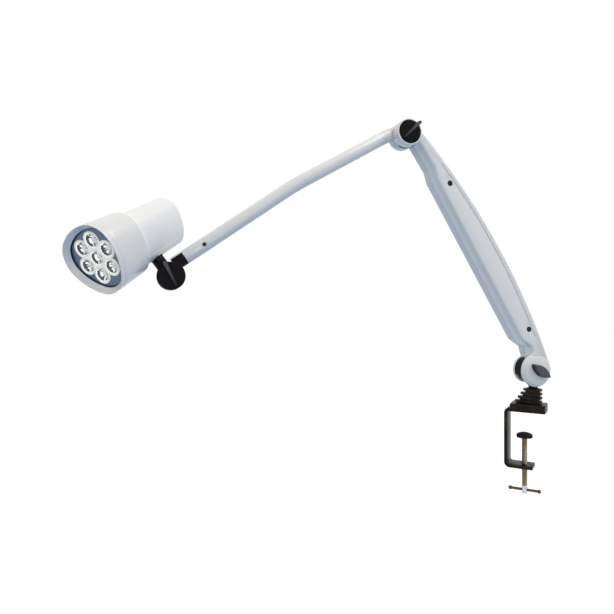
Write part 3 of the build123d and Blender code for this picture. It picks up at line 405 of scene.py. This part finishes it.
# The lens holder's glow is painted light; it is no lamp.
holder_plastic = plain_moulding("pale_lens_holder", (0.93, 0.87, 0.74), (0.97, 0.94, 0.86),
                                0.12, 2.2, 0.25, coat=0.6, glow=0.2)
board_green = plain_moulding("green_circuit_board", (0.02, 0.09, 0.04), (0.03, 0.12, 0.05),
                             0.35, 0.8, 0.05)
phosphor = plain_moulding("yellow_phosphor", (0.80, 0.62, 0.12), (0.85, 0.70, 0.20),
                          0.5, 0.5, 0.03)
print("other finishes ready")

# %% Clear lens plastic
lens_paint = Paint("clear_lens_plastic")
lens_paint.set(Base_Color=rgb(0.96, 0.98, 1.0), Roughness=0.02, IOR=1.49,
               Transmission_Weight=1.0)
print("lens finish:", lens_paint.material.name)

# %% [markdown]
# ## Dressing the solid parts
# The solid parts whose shape is already right keep their mesh and only get a finish. Each part
# names a material slot in the record, so one table from slot to finish dresses them all.

# %% Finishes by slot
slot_finish = {
    "white_plastic": white_plastic, "white_paint": white_paint, "black_plastic": black_plastic,
    "clamp_paint": clamp_paint.material, "screw_steel": screw_steel, "zinc_steel": zinc_steel,
    "black_steel": black_steel, "tommy_steel": tommy_steel, "spar_steel": spar_steel,
    "pad_rubber": pad_rubber, "bush_plastic": bush_plastic, "plate_plastic": plate_plastic,
    "holder_plastic": holder_plastic, "clear_optic": lens_paint.material,
    "board_green": board_green, "led_phosphor": phosphor, "sink_aluminium": sink_metal,
}
node_slot = {part["node"]: part["material_slot"] for part in frame["record"]["subparts"]}


def dress(piece, finish):
    """Gives a piece one finish in place of all it had."""
    piece.data.materials.clear()
    piece.data.materials.append(finish)


for name, solid in frame["nodes"].items():
    dress(solid, slot_finish[node_slot[name]])
print("dressed", len(node_slot), "solid parts")

# %% [markdown]
# ## Small tools for modelling
# The same few steps come back for every piece that is modelled: select it alone, apply its
# transform, add a modifier and apply it, join it with others, and let it ride on the body of the
# solid that it belongs to.

# %% Modelling tools
weld_gap = 0.002 * MM                  # corners closer than this become one
flat_angle = math.radians(0.03)        # faces flatter than this become one
smooth_angle = math.radians(32)        # edges sharper than this stay sharp
node_body = {name: body_of(solid)[0] for name, solid in frame["nodes"].items()}


def only(piece):
    """Selects one object and makes it active."""
    bpy.ops.object.select_all(action="DESELECT")
    piece.select_set(True)
    bpy.context.view_layer.objects.active = piece


def settled(piece):
    """Applies a piece's transform, so that its mesh is in world places."""
    only(piece)
    bpy.ops.object.transform_apply(location=True, rotation=True, scale=True)
    return piece


def modify(piece, kind, **settings):
    """Adds one modifier with its settings and applies it."""
    only(piece)
    bpy.ops.object.modifier_add(type=kind)
    for key, value in settings.items():
        setattr(piece.modifiers[-1], key, value)
    bpy.ops.object.modifier_apply(modifier=piece.modifiers[-1].name)


def cut_away(piece, cutter, operation="DIFFERENCE"):
    """Takes one closed mesh out of another, or keeps what they share, and drops the cutter."""
    modify(piece, "BOOLEAN", operation=operation, solver="EXACT", object=cutter)
    bpy.data.objects.remove(cutter)


def edit_all():
    """Opens the active mesh for editing, with all of it selected."""
    bpy.ops.object.mode_set(mode="EDIT")
    bpy.ops.mesh.select_all(action="SELECT")


def joined(pieces):
    """Joins pieces into the first of them."""
    bpy.ops.object.select_all(action="DESELECT")
    for piece in pieces:
        piece.select_set(True)
    bpy.context.view_layer.objects.active = pieces[0]
    bpy.ops.object.join()
    return pieces[0]


def belongs(piece, node, *replaced):
    """Puts a piece on the body of a solid, and hides the solids that it stands for."""
    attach(piece, node_body[node])
    if replaced:
        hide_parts(*replaced)


print("bodies:", len(set(node_body.values())))

# %% [markdown]
# ## Moulded edges
# No moulding or casting has a knife edge: the tool leaves a small round on each one, and that
# round is what catches the light. A solid's mesh is loose triangles, so a copy of it is merged
# first and its flat faces are cleaned up. Then its sharp edges get a fine bevel and the rest is
# shaded smooth. The copy rides on the same body and stands for the solid.

# %% A softened copy of a solid
def softened(node, edge, cutter=None):
    """Copies a solid, merges it and rounds its edges by `edge` millimetres."""
    only(frame["nodes"][node])
    bpy.ops.object.duplicate()
    piece = bpy.context.object
    piece.name = "soft_" + node
    edit_all()
    bpy.ops.mesh.remove_doubles(threshold=weld_gap)
    bpy.ops.mesh.dissolve_limited(angle_limit=flat_angle)
    bpy.ops.object.mode_set(mode="OBJECT")
    if cutter:
        cut_away(piece, cutter)
    modify(piece, "BEVEL", width=edge * MM, segments=2, limit_method="ANGLE",
           angle_limit=smooth_angle)
    bpy.ops.object.shade_smooth_by_angle(angle=smooth_angle)
    belongs(piece, node, node)
    print(node, "faces:", len(piece.data.polygons))
    return piece


edge_rounds = {
    "front_housing": 0.5, "rear_housing": 0.4, "bezel": 0.3, "face_plate": 0.25,
    "fore_arm_tube": 0.3, "optic_holder": 0.3,
    "elbow_tongue": 0.4, "arm_knuckle": 0.4, "base_knuckle": 0.4, "base_cap": 0.4,
    "base_knob": 0.4, "elbow_knob": 0.4, "head_knob": 0.4, "head_knuckle": 0.4,
    "clamp_block": 0.5, "clamp_bracket": 0.5, "pressure_pad": 0.3, "tommy_bar": 0.2,
    "power_button": 0.2, "fore_arm_screw": 0.15, "cover_screws": 0.15, "post_bush": 0.2,
}
soft = {node: softened(node, edge) for node, edge in edge_rounds.items()}

# %% [markdown]
# The lamp head's two housings come from different moulds. The front one gets a painted highlight,
# a pale rim along its seam, which is its rearmost edge along the beam, and the rear one is painted
# a little lighter, as if more lit.

# %% Whites of the lamp head
front_rim = min(vertex.co.dot(beam_axis) for vertex in soft["front_housing"].data.vertices)
dress(soft["front_housing"],
      moulded_white("white_rimmed_plastic", 0.28, 0.04, 1.4, rim=front_rim))
# The rear housing's white is painted lighter by the lift factor, as if more light fell on it.
dress(soft["rear_housing"], moulded_white("white_lit_plastic", 0.28, 0.04, 1.4, painted_lift=1.12))
print("seam of the head at", round(front_rim, 4), "along the beam")

# %% Knobs with a painted sheen
wing_height = 9.0 * MM
for node in ("base_knob", "elbow_knob", "head_knob"):
    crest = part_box(node)[0].y
    dress(soft[node], painted_sheen_black("handled_" + node, crest + wing_height, crest))
    print(node, "crest at", round(crest, 4))

# %% [markdown]
# ## The arm's covers
# The black knuckle of the base turns between the two cheeks of the covers. On the side of the head
# the covers' walls are open there, so the knuckle shows as a black crescent with the round far
# cheek behind it. A box takes the walls away between the cheeks, and the far cheek is a disc.

# %% Open the fork
fork_near = -12.5 * MM     # inner face of the near cheek, along the tilt axis
fork_far = 8.0 * MM        # inner face of the far cheek
fork_reach = 40.0 * MM
fork_left = 10.0 * MM      # from the tilt axis to the near end of the opening
fork_top = 21.0 * MM       # opening above the tilt axis
fork_below = 35.0 * MM     # and below it
cover_round = 0.5          # rounds on the covers' edges


def box_mesh(middle, size):
    """A plain box, to cut other meshes with."""
    bpy.ops.mesh.primitive_cube_add(size=1, location=middle)
    made = bpy.context.object
    made.scale = size
    return settled(made)


def fork_cutter(below):
    """The room between the cheeks, on the left of the base's tilt axis."""
    tall = fork_top + below
    return box_mesh((base_point.x - fork_left - fork_reach / 2, (fork_far + fork_near) / 2,
                     base_point.z + fork_top - tall / 2),
                    (fork_reach, fork_far - fork_near, tall))


for node in ("lower_arm_cover_near", "lower_arm_cover_far"):
    softened(node, cover_round, fork_cutter(fork_below))


# %% Far cheek
def tilt_disc(name, radius, near, far, centre=base_point):
    """A round plate on a tilt axis, between two places along it."""
    bpy.ops.mesh.primitive_cylinder_add(
        vertices=72, radius=radius, depth=far - near, rotation=(math.pi / 2, 0, 0),
        location=(centre.x, (near + far) / 2, centre.z))
    disc = bpy.context.object
    disc.name = name
    return settled(disc)


cheek_radius = 20.5 * MM
cheek_thickness = 5.0 * MM
far_cheek = tilt_disc("far_cheek", cheek_radius, fork_far, fork_far + cheek_thickness)
modify(far_cheek, "BEVEL", width=1.2 * MM, segments=3)
bpy.ops.object.shade_smooth_by_angle(angle=smooth_angle)
dress(far_cheek, white_plastic)
belongs(far_cheek, "lower_arm_cover_far")
print("far cheek faces:", len(far_cheek.data.polygons))

# %% [markdown]
# A black lining stands in the opening, just clear of the turning knuckle. It is a short ring with
# its bore taken out, and only the part that lies in the opening is kept.

# %% Fork lining
lining_bore = 18.4 * MM
lining_room = 0.1 * MM
lining_drop = 8.0 * MM      # lower end, clear of the knuckle's neck at full tilt
lining = tilt_disc("fork_lining", cheek_radius, fork_near + lining_room, fork_far - lining_room)
cut_away(lining, tilt_disc("lining_bore", lining_bore, fork_near - MM, fork_far + MM))
cut_away(lining, fork_cutter(lining_drop), "INTERSECT")
bpy.ops.object.shade_smooth_by_angle(angle=smooth_angle)
dress(lining, black_plastic)
belongs(lining, "lower_arm_cover_near")
print("lining faces:", len(lining.data.polygons))

# %% [markdown]
# At the elbow a short dark arc lies round the underside of the near cheek, against the gap to the
# turning tongue. It is painted shade: it shows as a curved dark line under the joint, where the
# gap lies in shade.

# %% Painted shade under the elbow
shade_arc_radius = 18.72 * MM
seal_bore = 14.4 * MM
shade_arc_near = -9.3 * MM
shade_arc_far = -7.4 * MM
shade_arc_left = -9.5 * MM       # ends of the painted shade arc, from the elbow's axis
shade_arc_right = 14.0 * MM
# This dark arc is painted shade, standing in for the shadow in the gap between the cheek and the
# tongue.
shade_arc = tilt_disc("elbow_seal", shade_arc_radius, shade_arc_near, shade_arc_far, elbow_point)
cut_away(shade_arc, tilt_disc("seal_bore", seal_bore, shade_arc_near - MM, shade_arc_far + MM, elbow_point))
underside = box_mesh((elbow_point.x + (shade_arc_left + shade_arc_right) / 2, (shade_arc_near + shade_arc_far) / 2,
                      elbow_point.z - shade_arc_radius / 2),
                     (shade_arc_right - shade_arc_left, 4 * (shade_arc_far - shade_arc_near), shade_arc_radius * 1.02))
cut_away(shade_arc, underside, "INTERSECT")
bpy.ops.object.shade_smooth_by_angle(angle=smooth_angle)
dress(shade_arc, bush_plastic)
belongs(shade_arc, "lower_arm_cover_near")
print("seal faces:", len(shade_arc.data.polygons))

# %% [markdown]
# ## Clamp screw
# The clamp screw is a threaded rod with a pitch of a millimetre and a quarter. A small ring with
# four corners stands beside the rod, and the Screw modifier winds it up the whole length. A plain
# core fills the thread, and the lower end, where the tommy bar goes through, is bare steel.

# %% Thread
screw_low, screw_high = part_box("clamp_screw")
screw_axis = (screw_low + screw_high) / 2
screw_radius = (screw_high.x - screw_low.x) / 2
screw_pitch = 1.25 * MM
ridge = 0.5 * MM
screw_end = 12.0 * MM      # plain end round the tommy bar
thread_low = screw_low.z + screw_end
turns = int((screw_high.z - thread_low - 2 * ridge) / screw_pitch)
turn_steps = 24
thread_angle = math.radians(40)
bpy.ops.mesh.primitive_circle_add(vertices=4, radius=ridge, rotation=(math.pi / 2, 0, 0),
                                  location=(screw_radius - ridge, 0, 0))
thread = bpy.context.object
thread.name = "screw_thread"
modify(settled(thread), "SCREW", screw_offset=screw_pitch, iterations=turns, steps=turn_steps,
       render_steps=turn_steps, use_normal_calculate=True)
bpy.ops.object.mode_set(mode="EDIT")
bpy.ops.mesh.select_all(action="DESELECT")
bpy.ops.mesh.select_non_manifold()
bpy.ops.mesh.fill()
bpy.ops.mesh.select_all(action="SELECT")
bpy.ops.mesh.normals_make_consistent(inside=False)
bpy.ops.object.mode_set(mode="OBJECT")
thread.location = (screw_axis.x, screw_axis.y, thread_low + ridge)
settled(thread)
bpy.ops.object.shade_smooth_by_angle(angle=thread_angle)
dress(thread, screw_steel)
belongs(thread, "clamp_screw", "clamp_screw")
print("thread turns:", turns, "faces:", len(thread.data.polygons))


# %% Rod and bare end
def rod(name, radius, bottom, top, finish):
    """A round bar on the screw's axis with a chamfer at both ends."""
    bpy.ops.mesh.primitive_cylinder_add(vertices=48, radius=radius, depth=top - bottom,
                                        location=(screw_axis.x, screw_axis.y, (top + bottom) / 2))
    bar = bpy.context.object
    bar.name = name
    modify(settled(bar), "BEVEL", width=0.7 * MM, segments=1)
    bpy.ops.object.shade_smooth_by_angle(angle=smooth_angle)
    dress(bar, finish)
    belongs(bar, "clamp_screw")


core_radius = screw_radius - 0.8 * ridge
rod("screw_core", core_radius, thread_low - ridge, screw_high.z, screw_steel)
rod("screw_bare_end", screw_radius, screw_low.z, thread_low, zinc_steel)
print("screw length:", round(screw_high.z - screw_low.z, 4))

# %% [markdown]
# ## Lenses
# Each LED sits at the bottom of a clear, faceted cup. Some facets are a bright mirror of the sky,
# and the others get painted reflections, dark blue and warm brown, which is what makes the cups
# sparkle. A cup is a ring of twelve edges, extruded inwards three times and turned a little each
# time, so that its facets are skew, and its floor is a fan of triangles. The facets are counted
# ring by ring and share three finishes by a simple rule, and all the cups are then split by
# finish.

# %% Facet finishes
# The dark blue and warm brown finishes are painted reflections; only the bright one is a real
# mirror.
facet_finishes = [
    steel("mirror_bright_facet", (0.93, 0.94, 0.95), (0.85, 0.87, 0.90), 0.06),
    plain_moulding("dark_blue_facet", (0.030, 0.045, 0.065), (0.075, 0.11, 0.15),
                   0.06, 0.9, 0.02),
    plain_moulding("warm_brown_facet", (0.10, 0.055, 0.03), (0.28, 0.19, 0.11),
                   0.06, 0.9, 0.02),
]
bright, painted_dark_reflection, painted_warm_reflection = range(len(facet_finishes))
print("facet finishes:", len(facet_finishes))

# %% Where the lenses are
front_layer = 0.01 * MM     # corners this close to the foremost one are on the front face


def lens_fronts(node):
    """The middle and the radius of the front face of each loose solid of a node."""
    only(frame["nodes"][node])
    bpy.ops.object.duplicate()
    edit_all()
    bpy.ops.mesh.remove_doubles(threshold=weld_gap)
    bpy.ops.mesh.separate(type="LOOSE")
    bpy.ops.object.mode_set(mode="OBJECT")
    fronts = []
    for part in list(bpy.context.selected_objects):
        reach = max(vertex.co.dot(beam_axis) for vertex in part.data.vertices)
        rim = [vertex.co.copy() for vertex in part.data.vertices
               if vertex.co.dot(beam_axis) > reach - front_layer]
        middle = sum(rim, Vector()) / len(rim)
        fronts.append((middle, max((point - middle).length for point in rim)))
        bpy.data.objects.remove(part)
    return sorted(fronts, key=lambda front: tuple(round(value / MM) for value in front[0]))


lens_places = lens_fronts("optics")
beam_turn = beam_axis.to_track_quat("Z", "Y").to_matrix().to_4x4()
print("lenses:", len(lens_places), "radius:", round(lens_places[0][1], 5))

# %% One faceted cup
cup_corners = 12
cup_fill = 0.97                        # share of the lens's radius
cup_twist = math.radians(11)
cup_steps = ((0.6, 0.86), (2.2, 0.72), (2.6, 0.52))     # how far each ring sinks and shrinks
rim_depth = 0.6                        # facets above this are bright
left_weight, low_weight = 0.85, 0.45   # which way a facet with the painted dark reflection leans
painted_dark_lean = 0.12


def faceted_cup(radius):
    """A cup that opens along Z, with its rim at the origin."""
    bpy.ops.mesh.primitive_circle_add(vertices=cup_corners, radius=radius, fill_type="NOTHING")
    cup = bpy.context.object
    edit_all()
    for sink, shrink in cup_steps:
        bpy.ops.mesh.extrude_edges_move(TRANSFORM_OT_translate={"value": (0, 0, -sink * MM)})
        bpy.ops.transform.resize(value=(shrink, shrink, 1))
        bpy.ops.transform.rotate(value=cup_twist, orient_axis="Z", center_override=(0, 0, 0))
    bpy.ops.mesh.edge_face_add()
    bpy.ops.mesh.poke()
    bpy.ops.mesh.select_all(action="SELECT")
    bpy.ops.mesh.quads_convert_to_tris(quad_method="SHORTEST_DIAGONAL")
    bpy.ops.mesh.normals_make_consistent(inside=True)
    bpy.ops.object.mode_set(mode="OBJECT")
    return cup


def facet_order(face):
    """Sorts facets ring by ring and then round the ring, whichever was made first."""
    return round(face.center.z / MM, 2), math.atan2(face.center.y, face.center.x)


def facet_kind(face, number):
    """Mirror at the rim; below it the facets leaning left and underneath mostly get the painted
    dark reflection, and some the painted warm one.
    """
    if -face.center.z / MM < rim_depth:
        return bright
    place = beam_turn.to_3x3() @ face.center
    lean = -(left_weight * place.x + low_weight * place.z) / place.length
    if number % 5 == 0:
        return painted_warm_reflection if lean > 0 else bright
    return painted_dark_reflection if lean > painted_dark_lean or number % 7 == 1 else bright


cups = []
for number, (middle, radius) in enumerate(lens_places):
    cup = faceted_cup(radius * cup_fill)
    for finish in facet_finishes:
        cup.data.materials.append(finish)
    for rank, face in enumerate(sorted(cup.data.polygons, key=facet_order)):
        face.material_index = facet_kind(face, rank + number)
    cup.matrix_world = Matrix.Translation(middle) @ beam_turn
    cups.append(settled(cup))
print("facets in a cup:", len(cups[0].data.polygons))

# %% Join the cups and split them by finish
joined(cups)
bpy.ops.object.mode_set(mode="EDIT")
bpy.ops.mesh.separate(type="MATERIAL")
bpy.ops.object.mode_set(mode="OBJECT")
for piece in list(bpy.context.selected_objects):
    piece.name = piece.data.materials[0].name + "s"
    belongs(piece, "optics", "optics")
    print(piece.name, len(piece.data.polygons))

# %% [markdown]
# In the middle of each cup a small milky dome stands over the LED and glints.

# %% Domes over the LEDs
dome_radius = 2.3 * MM
dome_depth = 4.6 * MM       # centre of a dome behind the lens's front
dome_stretch = 1.3          # along the beam
domes = []
for middle, radius in lens_places:
    bpy.ops.mesh.primitive_uv_sphere_add(segments=20, ring_count=12, radius=dome_radius)
    dome = bpy.context.object
    dome.matrix_world = (Matrix.Translation(middle - beam_axis * dome_depth) @ beam_turn
                         @ Matrix.Diagonal((1, 1, dome_stretch, 1)))
    settled(dome)
    bpy.ops.object.shade_smooth()
    domes.append(dome)
led_domes = joined(domes)
led_domes.name = "led_domes"
dress(led_domes, plain_moulding("milky_dome", (0.86, 0.88, 0.90), (0.93, 0.94, 0.95),
                                0.05, 0.9, 0.01, coat=0.6))
belongs(led_domes, "optics")
print("domes:", len(domes), "faces:", len(led_domes.data.polygons))

# %% [markdown]
# ## Dark band in the window
# A thin dark band lines the window, between the bezel and the blue plate. It is the bezel's own
# inner wall: those faces of a copy are kept, and the rest is dropped. Solidify gives the band
# its thickness.

# %% Dark band from the bezel's inner wall
only(soft["bezel"])
bpy.ops.object.duplicate()
window_band = bpy.context.object
window_band.name = "window_gasket"
bezel_reach = max(vertex.co.dot(beam_axis) for vertex in window_band.data.vertices)
window_middle = lens_places[0][0]
wall_start, wall_end = 5.9 * MM, 8.1 * MM      # the wall's edges behind the bezel's front
square_on = 0.1                                # lean of a face that is square to the beam
window_band_thickness = 0.5 * MM


def on_window_wall(face):
    """True for the straight inner wall of the window."""
    behind = bezel_reach - face.center.dot(beam_axis)
    outwards = face.center - window_middle
    return (wall_start < behind < wall_end and abs(face.normal.dot(beam_axis)) < square_on
            and face.normal.dot(outwards) < 0)


bpy.ops.object.mode_set(mode="EDIT")
bpy.ops.mesh.select_mode(type="FACE")
bpy.ops.mesh.select_all(action="DESELECT")
bpy.ops.object.mode_set(mode="OBJECT")
for face in window_band.data.polygons:
    face.select = not on_window_wall(face)
bpy.ops.object.mode_set(mode="EDIT")
bpy.ops.mesh.delete(type="FACE")
bpy.ops.object.mode_set(mode="OBJECT")
modify(window_band, "SOLIDIFY", thickness=window_band_thickness, offset=1.0)
dress(window_band, bush_plastic)
belongs(window_band, "bezel")
print("gasket faces:", len(window_band.data.polygons))

# %% [markdown]
# ## Studio
# The floor is a plain pale plane some way below the clamp, with room for the lamp head when the
# arms hang down. The eye sees it white, while it throws a cool light back up, which gives the
# undersides their light blue.

# %% Floor
bounce_colour = rgb(0.26, 0.44, 0.68)
plain_white = rgb(1, 1, 1)
floor_white = rgb(0.93, 0.93, 0.93)
floor_size = 12
floor_drop = 180 * MM      # from the clamp's lowest point
glow_share = 0.72          # the rest takes the shadow
glow_unseen = 0.74         # strength for the light that the floor throws back
glow_seen_more = 0.42      # added where the eye looks at the floor


def background_ray(graph):
    """One for the eye's own rays and for those that glass and gloss send on, else nothing."""
    rays = graph.tree.nodes.new("ShaderNodeLightPath")
    eye, gloss, glass = (Value(graph, rays.outputs[name]) for name in
                         ("Is Camera Ray", "Is Glossy Ray", "Is Transmission Ray"))
    return eye.larger(gloss.larger(glass))


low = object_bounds()[0]
bpy.ops.mesh.primitive_plane_add(size=floor_size, location=(low.x, 0, low.z - floor_drop))
floor = bpy.context.object
floor.name = "studio_floor"
floor_paint = Paint("pale_floor")
seen = background_ray(floor_paint)
floor_paint.set(Base_Color=floor_paint.blend(seen, bounce_colour, floor_white),
                Roughness=0.9, Specular_IOR_Level=0.0)
glow = floor_paint.node("ShaderNodeEmission", None, {
    "Color": floor_paint.blend(seen, bounce_colour, plain_white),
    "Strength": seen * glow_seen_more + glow_unseen})
mixed = floor_paint.node("ShaderNodeMixShader", None, {
    0: glow_share, 1: Value(floor_paint, floor_paint.shader.outputs[0]), 2: glow})
floor_paint.feed(floor_paint.output.inputs["Surface"], mixed)
dress(floor, floor_paint.material)
print("floor at", round(low.z - floor_drop, 3))

# %% [markdown]
# The lamps are large and soft: a key above to the right, and a weaker one in front. They face the
# middle of the arms.

# %% Lamps
lamps = {"key_lamp": {"place": (0.5, -0.6, 1.7), "size": 1.0, "power": 10},
         "front_lamp": {"place": (-0.5, -1.9, 0.7), "size": 1.2, "power": 4}}
arm_middle = (base_point + head_point) / 2
for name, lamp in lamps.items():
    bpy.ops.object.light_add(type="AREA", location=lamp["place"])
    light = bpy.context.object
    light.name = name
    light.data.size = lamp["size"]
    light.data.energy = lamp["power"]
    light.visible_camera = False
    aim = arm_middle - Vector(lamp["place"])
    light.rotation_euler = aim.to_track_quat("-Z", "Y").to_euler()
print("lamps:", len(lamps))

# %% [markdown]
# The sky is white where the eye looks. The light that it gives is warm near the horizon and
# turns white overhead.

# %% Sky
world = bpy.data.worlds.new("studio_world")
world.use_nodes = True
bpy.context.scene.world = world
sky = Graph(world.node_tree)
height = sky.node("ShaderNodeSeparateXYZ", None, {0: sky.node("ShaderNodeTexCoord")}, output=2)
daylight = sky.node("ShaderNodeValToRGB", {"stops": [
    (0.0, rgb(0.84, 0.77, 0.69)), (0.35, rgb(0.90, 0.87, 0.83)), (1.0, plain_white)]},
    {0: height})
background = world.node_tree.nodes["Background"]
sky.feed(background.inputs["Color"], sky.blend(background_ray(sky), daylight, plain_white))
background.inputs["Strength"].default_value = 1.0
bpy.context.scene.view_settings.view_transform = "Standard"
print("sky nodes:", len(world.node_tree.nodes))
